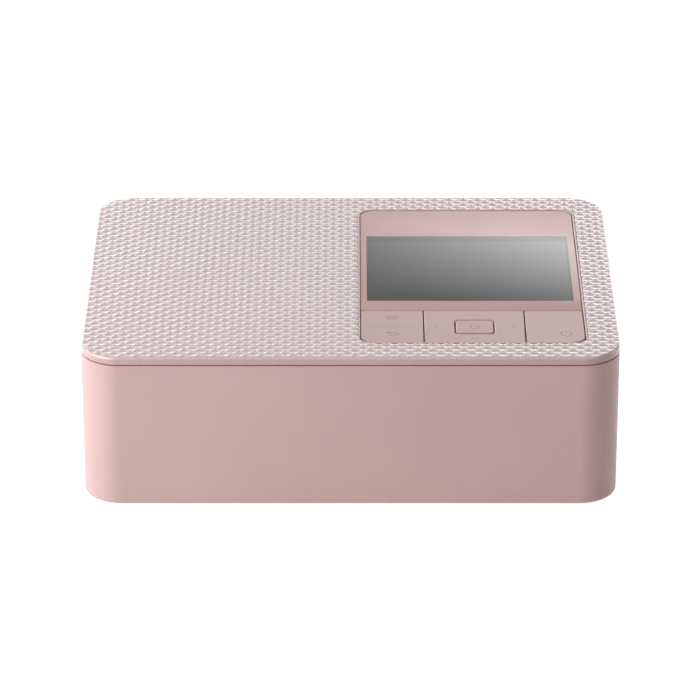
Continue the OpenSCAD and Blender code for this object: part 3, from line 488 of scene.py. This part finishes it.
# Lattice: one sheet of diamonds with cut corners, each poked into a shallow dimple, trimmed to a
# little more than the lid and closed below into a block. The squares at the corners stay level.
cells = 70
deselect()
bpy.ops.mesh.primitive_grid_add(x_subdivisions=cells, y_subdivisions=cells, size=cells)
lattice = bpy.context.object
lattice.name = "lattice"
bpy.ops.object.mode_set(mode="EDIT")
bpy.ops.mesh.select_all(action="SELECT")
bpy.ops.transform.rotate(value=math.pi / 4, orient_axis="Z", center_override=(0, 0, 0))
bpy.ops.transform.resize(
    value=(pit_x * MM * math.sqrt(2), pit_y * MM * math.sqrt(2), 1), center_override=(0, 0, 0)
)
bpy.ops.transform.translate(value=(pit_at[0] * MM, pit_at[1] * MM, lid_top * MM))
bpy.ops.mesh.bevel(offset=pit_corner * MM, segments=1, affect="VERTICES")
bpy.ops.mesh.select_all(action="DESELECT")
bpy.ops.mesh.select_face_by_sides(number=8, type="EQUAL")
bpy.ops.mesh.poke(offset=-pit_depth * MM, use_relative_offset=False, center_mode="MEDIAN_WEIGHTED")
pick_faces(lattice, lambda face: abs(face.calc_center_median().x) > sheet_x * MM
           or abs(face.calc_center_median().y) > sheet_y * MM)
bpy.ops.mesh.delete(type="FACE")
pick_edges(lattice, lambda a, b, edge: min(a.z, b.z) > (lid_top - 0.01) * MM)
bpy.ops.transform.edge_crease(value=pit_crease)
bpy.ops.object.mode_set(mode="OBJECT")
round_off = lattice.modifiers.new("round_off", "SUBSURF")
round_off.levels = 1
round_off.render_levels = 1
bpy.ops.object.modifier_apply(modifier="round_off")
bpy.ops.object.mode_set(mode="EDIT")
bpy.ops.mesh.select_all(action="SELECT")
bpy.ops.mesh.extrude_region_move(TRANSFORM_OT_translate={"value": (0, 0, -block_deep * MM)})
bpy.ops.transform.resize(value=(1, 1, 0), center_override=(0, 0, (lid_top - block_deep) * MM))
bpy.ops.mesh.select_all(action="SELECT")
bpy.ops.mesh.normals_make_consistent(inside=False)
bpy.ops.object.mode_set(mode="OBJECT")
combine(lid, lattice, "INTERSECT")

# Colour by height: painted shade on the skirt down in the seam, the base pink on the side band, and
# painted light making the top paler over the lattice
seam_painted_shade = (0.40, 0.20, 0.18)
band_pink = (0.575, 0.345, 0.335)
lattice_painted_light_pink = (0.665, 0.51, 0.515)
lid_plastic_painted_shading, tree, shader, coords = node_material("lid_plastic_painted_shading")
grain = noise(tree, coords, 3300, 3.0)
axes = tree.nodes.new("ShaderNodeSeparateXYZ")
tree.links.new(coords, axes.inputs[0])
height = ranged(tree, axes.outputs["Z"], 0, 1, seam_z * MM, 57.0 * MM)
tone = two_tone(tree, height, seam_painted_shade, lattice_painted_light_pink, 0.0, 1.0)
for place in (0.02, 0.77):
    tone.node.color_ramp.elements.new(place).color = (*band_pink, 1)
tree.links.new(tone, shader.inputs["Base Color"])
tree.links.new(ranged(tree, grain, 0.22, 0.28), shader.inputs["Roughness"])
tree.links.new(bumped(tree, grain, 0.000006), shader.inputs["Normal"])
shader.inputs["Coat Weight"].default_value = 0.5
shader.inputs["Coat Roughness"].default_value = 0.12
lid.data.materials.clear()
settle(lid, "case", "lid_pink", lid_plastic_painted_shading, angle=24)
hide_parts("lid_cover")


# ---------------------------------------------------------------------------------------------
# Panel frame: moulded with the thin light rim that shows round the panel. It is screwed to the
# lid from below and carries the window and the keys.
# ---------------------------------------------------------------------------------------------
rim_top = 57.45
rim_lift = 0.07
cap_top = 57.3


def round_rim(piece, height, radius, segments=3, test=None):
    """Rounds the edges of a piece that lie at a height, in millimetres."""
    level = height * MM

    def on_rim(a, b, edge):
        flat = abs(a.z - level) < 1e-6 and abs(b.z - level) < 1e-6
        wall = flat and any(abs(f.normal.z) < 0.5 for f in edge.link_faces)
        return wall and (test is None or test((a + b) / 2))

    if pick_edges(piece, on_rim):
        round_picked(radius, segments)


panel_frame = copy_of("panel_frame", "panel_rim")
pick_top(panel_frame, rim_top)
bpy.ops.transform.translate(value=(0, 0, rim_lift * MM))
round_rim(panel_frame, rim_top + rim_lift, 0.2, 3)
rim_plastic = finish("rim_plastic", (0.64, 0.455, 0.43), 0.28, 0.0003, 0.000006, spread=0.012)
settle(panel_frame, "case", "key_pink", rim_plastic)
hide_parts("panel_frame")


# ---------------------------------------------------------------------------------------------
# Keys: satin caps with softened edges in the panel frame: a rocking key, a four-way pad with a
# chamfered well round its middle key, and the power key. Each rides on its own pivots.
# ---------------------------------------------------------------------------------------------
key_plastic = finish("key_plastic", (0.54, 0.357, 0.345), 0.34, 0.0003, 0.000006, spread=0.012)
ok_at = (42.25, -42.05)
well_x, well_y = 8, 6.5


def near_ok_key(point):
    beside = abs(point.x - ok_at[0] * MM) < well_x * MM
    return beside and abs(point.y - ok_at[1] * MM) < well_y * MM


for node in ("menu_key", "ok_key", "power_key"):
    cap = copy_of(node, node + "_cap")
    round_rim(cap, cap_top, 0.4, 4)
    settle(cap, node, "key_pink", key_plastic)
    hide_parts(node)

pad = copy_of("nav_pad", "nav_pad_cap")
round_rim(pad, cap_top, 0.8, 2, near_ok_key)
round_rim(pad, cap_top, 0.4, 4, lambda point: not near_ok_key(point))
settle(pad, "nav_pad", "key_pink", key_plastic)
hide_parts("nav_pad")
dress("nav_gimbal", finish("gimbal_nylon", (0.75, 0.74, 0.70), 0.45, 0.0004, 0.00001))

# Pictograms, pad-printed on the keys in a darker ink
print_ink = finish("print_ink", (0.33, 0.225, 0.215), 0.45, 0.0003, 0.000004, spread=0.03)
ink_high = 0.03


def printed(name, body, width, *lines):
    """Printed lines a given width across, through points in millimetres on a key's top."""
    deselect()
    curve = bpy.data.curves.new(name, "CURVE")
    curve.dimensions = "3D"
    curve.bevel_depth = width / 2 * MM
    curve.bevel_resolution = 2
    curve.use_fill_caps = True
    for points in lines:
        spline = curve.splines.new("POLY")
        spline.points.add(len(points) - 1)
        for point, (x, y) in zip(spline.points, points):
            point.co = (x * MM, y * MM, cap_top * MM, 1)
    piece = bpy.data.objects.new(name, curve)
    bpy.context.scene.collection.objects.link(piece)
    bpy.context.view_layer.objects.active = piece
    piece.select_set(True)
    bpy.ops.object.convert(target="MESH")
    bpy.ops.object.mode_set(mode="EDIT")
    bpy.ops.mesh.select_all(action="SELECT")
    flatter = ink_high / (width / 2)
    bpy.ops.transform.resize(value=(1, 1, flatter), center_override=(0, 0, cap_top * MM))
    return settle(piece, body, "key_pink", print_ink)


def arc(centre, radius, start, end, count=24):
    """Points along an arc from one angle to another, in degrees."""
    step = math.radians(end - start) / count
    turns = [math.radians(start) + step * i for i in range(count + 1)]
    return [(centre[0] + radius * math.cos(t), centre[1] + radius * math.sin(t)) for t in turns]


def chevron(centre, across, deep, turn):
    """Three points of an arrowhead that points along turn, in degrees."""
    shape = [(-deep / 2, across / 2), (deep / 2, 0), (-deep / 2, -across / 2)]
    c, n = math.cos(math.radians(turn)), math.sin(math.radians(turn))
    return [(centre[0] + x * c - y * n, centre[1] + x * n + y * c) for x, y in shape]


menu_at = (14.2, -34.7)
bar_half = 2.2
printed("menu_sign", "menu_key", 0.5,
        *[[(menu_at[0] - bar_half, menu_at[1] + y), (menu_at[0] + bar_half, menu_at[1] + y)]
          for y in (-1.1, 0, 1.1)])
back_at = (14.4, -47.6)
back_bow = arc((back_at[0] + 0.9, back_at[1]), 1.0, 90, -90, 12)
printed("back_sign", "menu_key", 0.42,
        [(back_at[0] - 1.9, back_at[1] + 1.0)] + back_bow + [(back_at[0] - 1.4, back_at[1] - 1.0)],
        chevron((back_at[0] - 1.5, back_at[1] + 1.0), 1.5, 0.8, 180))
power_at = (73.2, -47.3)
printed("power_sign", "power_key", 0.42, arc(power_at, 1.9, 60, -240, 30),
        [(power_at[0], power_at[1] + 0.3), (power_at[0], power_at[1] + 2.3)])
printed("ok_sign", "ok_key", 0.45, arc(ok_at, 1.45, 0, 360, 32))
arrow_x, arrow_y = 13.35, 9.25
arrows = ((0, arrow_y, 90), (0, -arrow_y, -90), (-arrow_x, 0, 180), (arrow_x, 0, 0))
printed("pad_arrows", "nav_pad", 0.36,
        *[chevron((ok_at[0] + x, ok_at[1] + y), 2.6, 1.2, turn) for x, y, turn in arrows])
rocker_left, rocker_right, rocker_y = 7.5, 21.0, -42.0
tip_gap = 1.1
printed("rocker_line", "menu_key", 0.2, [(rocker_left, rocker_y), (rocker_right, rocker_y)],
        chevron((rocker_left - tip_gap, rocker_y), 0.9, 0.5, 180),
        chevron((rocker_right + tip_gap, rocker_y), 0.9, 0.5, 0))


# ---------------------------------------------------------------------------------------------
# Window: a clear acrylic pane, painted pink from behind round the display's clear field. The
# display lies right under it and looks dark grey while it is off.
# ---------------------------------------------------------------------------------------------
field_x = (5.7, 77.0)
field_y = (-21.4, 32.4)
mask_y, mask_x = 28.0, 76.2

pane = copy_of("display_window", "window_pane")
round_rim(pane, cap_top, 0.15, 3)


def on_top(face):
    return face.normal.z > 0.99 and face.calc_center_median().z > (cap_top - 0.05) * MM


for axis, values in (((1, 0, 0), (*field_x, mask_x)), ((0, 1, 0), (*field_y, mask_y))):
    for value in values:
        pick_faces(pane, on_top)
        bpy.ops.mesh.bisect(plane_co=[c * value * MM for c in axis], plane_no=axis)
bpy.ops.object.mode_set(mode="OBJECT")

window_paint, tree, shader, coords = node_material("window_paint")
cloud = noise(tree, coords, 60, 3.0)
paint = two_tone(tree, cloud, (0.66, 0.405, 0.40), (0.68, 0.42, 0.415))
tree.links.new(paint, shader.inputs["Base Color"])
tree.links.new(ranged(tree, cloud, 0.45, 0.52), shader.inputs["Roughness"])
ripple = noise(tree, coords, 90, 1.0)
tree.links.new(bumped(tree, ripple, 0.000004, 0.3), shader.inputs["Coat Normal"])
shader.inputs["Specular IOR Level"].default_value = 0.0
shader.inputs["Coat Weight"].default_value = 0.55
shader.inputs["Coat Roughness"].default_value = 0.005

pixel_pitch = 0.00035
display_glass, tree, shader, coords = node_material("display_glass")
pixels = tree.nodes.new("ShaderNodeTexBrick")
pixels.offset = 0.0
pixels.inputs["Scale"].default_value = 1 / pixel_pitch
pixels.inputs["Color1"].default_value = (0.0075, 0.0085, 0.008, 1)
pixels.inputs["Color2"].default_value = (0.009, 0.010, 0.0095, 1)
pixels.inputs["Mortar"].default_value = (0.004, 0.005, 0.0045, 1)
pixels.inputs["Mortar Size"].default_value = 0.06
pixels.inputs["Brick Width"].default_value = 0.33
pixels.inputs["Row Height"].default_value = 1.0
tree.links.new(coords, pixels.inputs["Vector"])
tree.links.new(pixels.outputs["Color"], shader.inputs["Base Color"])
smear = noise(tree, coords, 30, 2.0)
tree.links.new(ranged(tree, smear, 0.35, 0.42), shader.inputs["Roughness"])
tree.links.new(bumped(tree, smear, 0.000004, 0.3), shader.inputs["Coat Normal"])
shader.inputs["Specular IOR Level"].default_value = 0.0
shader.inputs["Coat Weight"].default_value = 0.9
shader.inputs["Coat Roughness"].default_value = 0.005

# Black border of the display, a shade darker and greener than the field itself
display_border = finish("display_border", (0.006, 0.014, 0.009), 0.4, 0.0004, 0.000002,
                        coat=0.8, spec=0.0)
display_border.node_tree.nodes["Principled BSDF"].inputs["Coat Roughness"].default_value = 0.005

settle(pane, "case", "window_pink", window_paint, display_glass, display_border)
for face in pane.data.polygons:
    x, y = face.center.x / MM, face.center.y / MM
    inside = field_x[0] < x < field_x[1] and field_y[0] < y < field_y[1]
    border = y > mask_y or x > mask_x
    face.material_index = (2 if border else 1) if inside and face.normal.z > 0.99 else 0
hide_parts("display_window")


# ---------------------------------------------------------------------------------------------
# Display: thin black module with its glass on top, laid into the panel frame under the window.
# Only its edges show, and only with the frame taken out.
# ---------------------------------------------------------------------------------------------
black_plastic = finish("black_plastic", (0.035, 0.035, 0.038), 0.45, 0.0004, 0.00003)
display_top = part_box("display_module")[1][2]
rounded("display_module", "display_body", "case", "screen_dark", 0.3,
        lambda a, b, edge: min(a.z, b.z) > display_top - 1e-6, black_plastic)


# ---------------------------------------------------------------------------------------------
# Feet and lid screws: four soft rubber pads pressed into the floor, rounded where they stand,
# and steel screws that hold the lid from below.
# ---------------------------------------------------------------------------------------------
rubber = finish("rubber", (0.03, 0.03, 0.03), 0.75, 0.0003, 0.00003)
rounded("feet", "foot_pads", "case", "rubber_dark", 0.5,
        lambda a, b, edge: max(a.z, b.z) < 1e-6 and turns_sharply(edge), rubber)
turned_steel = finish("turned_steel", (0.58, 0.58, 0.59), 0.22, 0.0004, 0.000003, metal=1.0,
                      stretch=(8, 1, 1))
dress("lid_screws", turned_steel)


# ---------------------------------------------------------------------------------------------
# Boards: green fibreglass with copper tracks under the lacquer. Chips in black epoxy and four
# sleeved capacitors stand on the main board, key switches on the one under the panel.
# ---------------------------------------------------------------------------------------------
track_block = 0.004


def board_lacquer():
    """Green lacquer over copper tracks: fine rows, crossed by blocks of bare board."""
    mat, tree, shader, coords = node_material("board_lacquer")
    tracks = tree.nodes.new("ShaderNodeTexBrick")
    tracks.inputs["Scale"].default_value = 1 / track_block
    tracks.inputs["Color1"].default_value = (0.020, 0.120, 0.060, 1)
    tracks.inputs["Color2"].default_value = (0.030, 0.165, 0.085, 1)
    tracks.inputs["Mortar"].default_value = (0.060, 0.270, 0.130, 1)
    tracks.inputs["Mortar Size"].default_value = 0.05
    tracks.inputs["Brick Width"].default_value = 1.7
    tracks.inputs["Row Height"].default_value = 0.22
    tree.links.new(coords, tracks.inputs["Vector"])
    tree.links.new(tracks.outputs["Color"], shader.inputs["Base Color"])
    weave = noise(tree, coords, 1400, 2.0)
    tree.links.new(ranged(tree, weave, 0.24, 0.34), shader.inputs["Roughness"])
    relief = bumped(tree, tracks.outputs["Fac"], 0.00003, 0.6)
    tree.links.new(bumped(tree, weave, 0.000006, 0.4, relief), shader.inputs["Normal"])
    return mat


def parted(node, name, body, slot, materials, part_of):
    """Copy of a CAD piece whose faces take the material that part_of(place, face) numbers."""
    piece = copy_of(node, name)
    settle(piece, body, slot, *materials)
    for face in piece.data.polygons:
        face.material_index = part_of(face.center / MM, face)
    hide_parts(node)
    return piece


lacquer = board_lacquer()
epoxy = finish("chip_epoxy", (0.028, 0.028, 0.030), 0.5, 0.0002, 0.000008)
sleeve = finish("capacitor_sleeve", (0.02, 0.025, 0.05), 0.35, 0.0004, 0.000004)
capacitor_top = finish("capacitor_top", (0.70, 0.70, 0.69), 0.3, 0.0004, 0.000004, metal=1.0)
board_low, board_high = (Vector(p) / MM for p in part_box("main_board"))
capacitor_high, capacitor_r = 7, 3.1
capacitor_step = 8
board_z = board_high.z - capacitor_high
first_x = (board_low.x + board_high.x) / 2 - 46
row_y = board_high.y - 14
capacitors = [(first_x + capacitor_step * i, row_y) for i in range(4)]


def board_part(at, face):
    if at.z < board_z + 0.05:
        return 0
    if any(math.hypot(at.x - x, at.y - y) < capacitor_r for x, y in capacitors):
        return 3 if face.normal.z > 0.9 else 2
    return 1


parted("main_board", "main_board_fitted", "case", "circuit",
       (lacquer, epoxy, sleeve, capacitor_top), board_part)

switch_metal = finish("switch_metal", (0.60, 0.60, 0.58), 0.35, 0.0003, 0.000004, metal=1.0)
switch_high, switch_can = 1.2, 0.85
switch_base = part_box("key_board")[1][2] / MM - switch_high


def key_board_part(at, face):
    if at.z < switch_base + 0.05:
        return 0
    return 2 if at.z > switch_base + switch_can else 1


parted("key_board", "key_board_fitted", "case", "circuit", (lacquer, switch_metal, epoxy), key_board_part)


# ---------------------------------------------------------------------------------------------
# Sockets at the rear and the card reader at the left: moulded power inlet with its pin, drawn
# steel shells with a black tongue inside, each soldered to a board.
# ---------------------------------------------------------------------------------------------
sheet_steel = finish("sheet_steel", (0.47, 0.48, 0.49), 0.38, 0.0006, 0.000006, metal=1.0,
                     stretch=(1, 0.05, 1))
inlet_low, inlet_high = (Vector(p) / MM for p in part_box("dc_inlet"))
pin_x, pin_z = (inlet_low.x + inlet_high.x) / 2, inlet_low.z + 6
pin_r = 0.85
pin_back, pin_front = inlet_high.y - 8, inlet_high.y - 0.5
parted("dc_inlet", "power_inlet", "case", "black_plastic", (black_plastic, turned_steel),
       lambda at, face: 1 if math.hypot(at.x - pin_x, at.z - pin_z) < pin_r
       and pin_back < at.y < pin_front else 0)

usb_low, usb_high = (Vector(p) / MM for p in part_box("usb_port"))
usb_x = (usb_low.x + usb_high.x) / 2
tongue_half = 3.25
tongue_low, tongue_high = usb_low.z + 1.05, usb_low.z + 1.95
parted("usb_port", "usb_socket", "case", "steel_shaft", (sheet_steel, black_plastic),
       lambda at, face: 1 if abs(at.x - usb_x) < tongue_half
       and tongue_low < at.z < tongue_high else 0)

reader_low, reader_high = (Vector(p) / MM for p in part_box("card_reader"))
reader_board = reader_high.z - 3.2
reader_edge = reader_low.y + 0.5


def reader_part(at, face):
    if at.z < reader_board - 0.02:
        return 1
    on_board = at.z < reader_board + 0.02 and face.normal.z > 0.5
    return 1 if on_board and at.y < reader_edge else 0


parted("card_reader", "card_socket", "case", "steel_sheet", (sheet_steel, lacquer), reader_part)


# ---------------------------------------------------------------------------------------------
# Frame: two side plates, a tray, a bridge and the motor plate, blanked from zinc-plated sheet
# steel with a rolled grain. The shafts turn in nylon bushes in the side plates.
# ---------------------------------------------------------------------------------------------
for name in ("chassis_left", "chassis_right", "chassis_tray", "chassis_bridge", "motor_plate"):
    dress(name, sheet_steel)
gear_nylon = finish("gear_nylon", (0.78, 0.76, 0.70), 0.42, 0.0005, 0.00001)
dress("shaft_bushes", gear_nylon)


# ---------------------------------------------------------------------------------------------
# Motors: three small motors on the motor plate, drawn steel cans with a rounded edge and a
# black end cap. Their pinions are pressed on, and screws hold the plate to its pillars.
# ---------------------------------------------------------------------------------------------
motor_can = finish("motor_can", (0.50, 0.50, 0.48), 0.32, 0.0005, 0.000004, metal=1.0,
                   stretch=(1, 0.2, 0.2))
end_cap = 3.2


def motor(node, name):
    """Motor with its can's outer rim rounded and its outer end in black plastic."""
    low, high = (Vector(p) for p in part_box(node))
    radius = (high.z - low.z) / 2
    axis_y, axis_z = (low.y + high.y) / 2, (low.z + high.z) / 2

    def can_rim(a, b, edge):
        far = min(math.hypot(p.y - axis_y, p.z - axis_z) for p in (a, b)) > radius * 0.995
        return far and abs(a.x - b.x) < 1e-6

    piece = rounded(node, name, "case", "steel_sheet", 0.8, can_rim, motor_can, black_plastic)
    for face in piece.data.polygons:
        face.material_index = 1 if face.center.x < low.x + end_cap * MM else 0


motor("feed_motor", "feed_motor_can")
motor("ribbon_motor", "ribbon_motor_can")
motor("lift_motor", "lift_motor_can")
for name in ("feed_pinion", "ribbon_pinion", "lift_pinion", "frame_screws"):
    dress(name, turned_steel)


# ---------------------------------------------------------------------------------------------
# Paper drive: ground steel capstan and pinch roller, pickup roller and platen with rubber
# sleeves, and the nylon gears that couple them to the feed motor.
# ---------------------------------------------------------------------------------------------
for name in ("capstan_roller", "pinch_roller", "pickup_shaft", "platen_shaft"):
    dress(name, turned_steel)
for name in ("pickup_tyre", "platen_sleeve"):
    dress(name, rubber)
for name in ("capstan_gear", "idler_gear", "pickup_gear"):
    dress(name, gear_nylon)


# ---------------------------------------------------------------------------------------------
# Print head: ceramic bar under a milled aluminium heat sink, hung on a sheet-steel arm that
# turns about its shaft. A gear sector on the arm lowers it onto the platen.
# ---------------------------------------------------------------------------------------------
dress("head_arm", sheet_steel)
dress("head_heatsink", finish("aluminium", (0.70, 0.71, 0.72), 0.36, 0.0005, 0.000006, metal=1.0,
                              stretch=(0.1, 1, 1)))
dress("print_head", finish("ceramic", (0.66, 0.63, 0.56), 0.28, 0.0004, 0.000004))
dress("head_sector", gear_nylon)


# ---------------------------------------------------------------------------------------------
# Ink cassette: two black film tubes joined by bridges, with a grip at the end behind the ink
# door. The film is wound on nylon spools that the hubs drive from the far end.
# ---------------------------------------------------------------------------------------------
ink_case_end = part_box("ink_case")[1][0]
rounded("ink_case", "ink_case_moulding", "case", "black_plastic", 0.6,
        lambda a, b, edge: min(a.x, b.x) > ink_case_end - 1e-6 and turns_sharply(edge), black_plastic)
film = finish("film", (0.10, 0.012, 0.06), 0.18, 0.0003, 0.000004, stretch=(0.1, 1, 1), coat=0.6)
for name in ("supply_film", "takeup_film"):
    dress(name, film)
for name in ("supply_spool", "takeup_spool", "supply_hub", "takeup_gear"):
    dress(name, gear_nylon)


# ---------------------------------------------------------------------------------------------
# Ink lever: small orange lever beside the cassette, moulded with rounded edges. It slides up on
# a peg of the side plate to let the cassette go.
# ---------------------------------------------------------------------------------------------
orange_plastic = finish("orange_plastic", (0.75, 0.22, 0.04), 0.42, 0.0004, 0.00002)
rounded("ink_lever", "ink_lever_moulding", "ink_lever", "lever_orange", 0.3,
        lambda a, b, edge: turns_sharply(edge), orange_plastic)
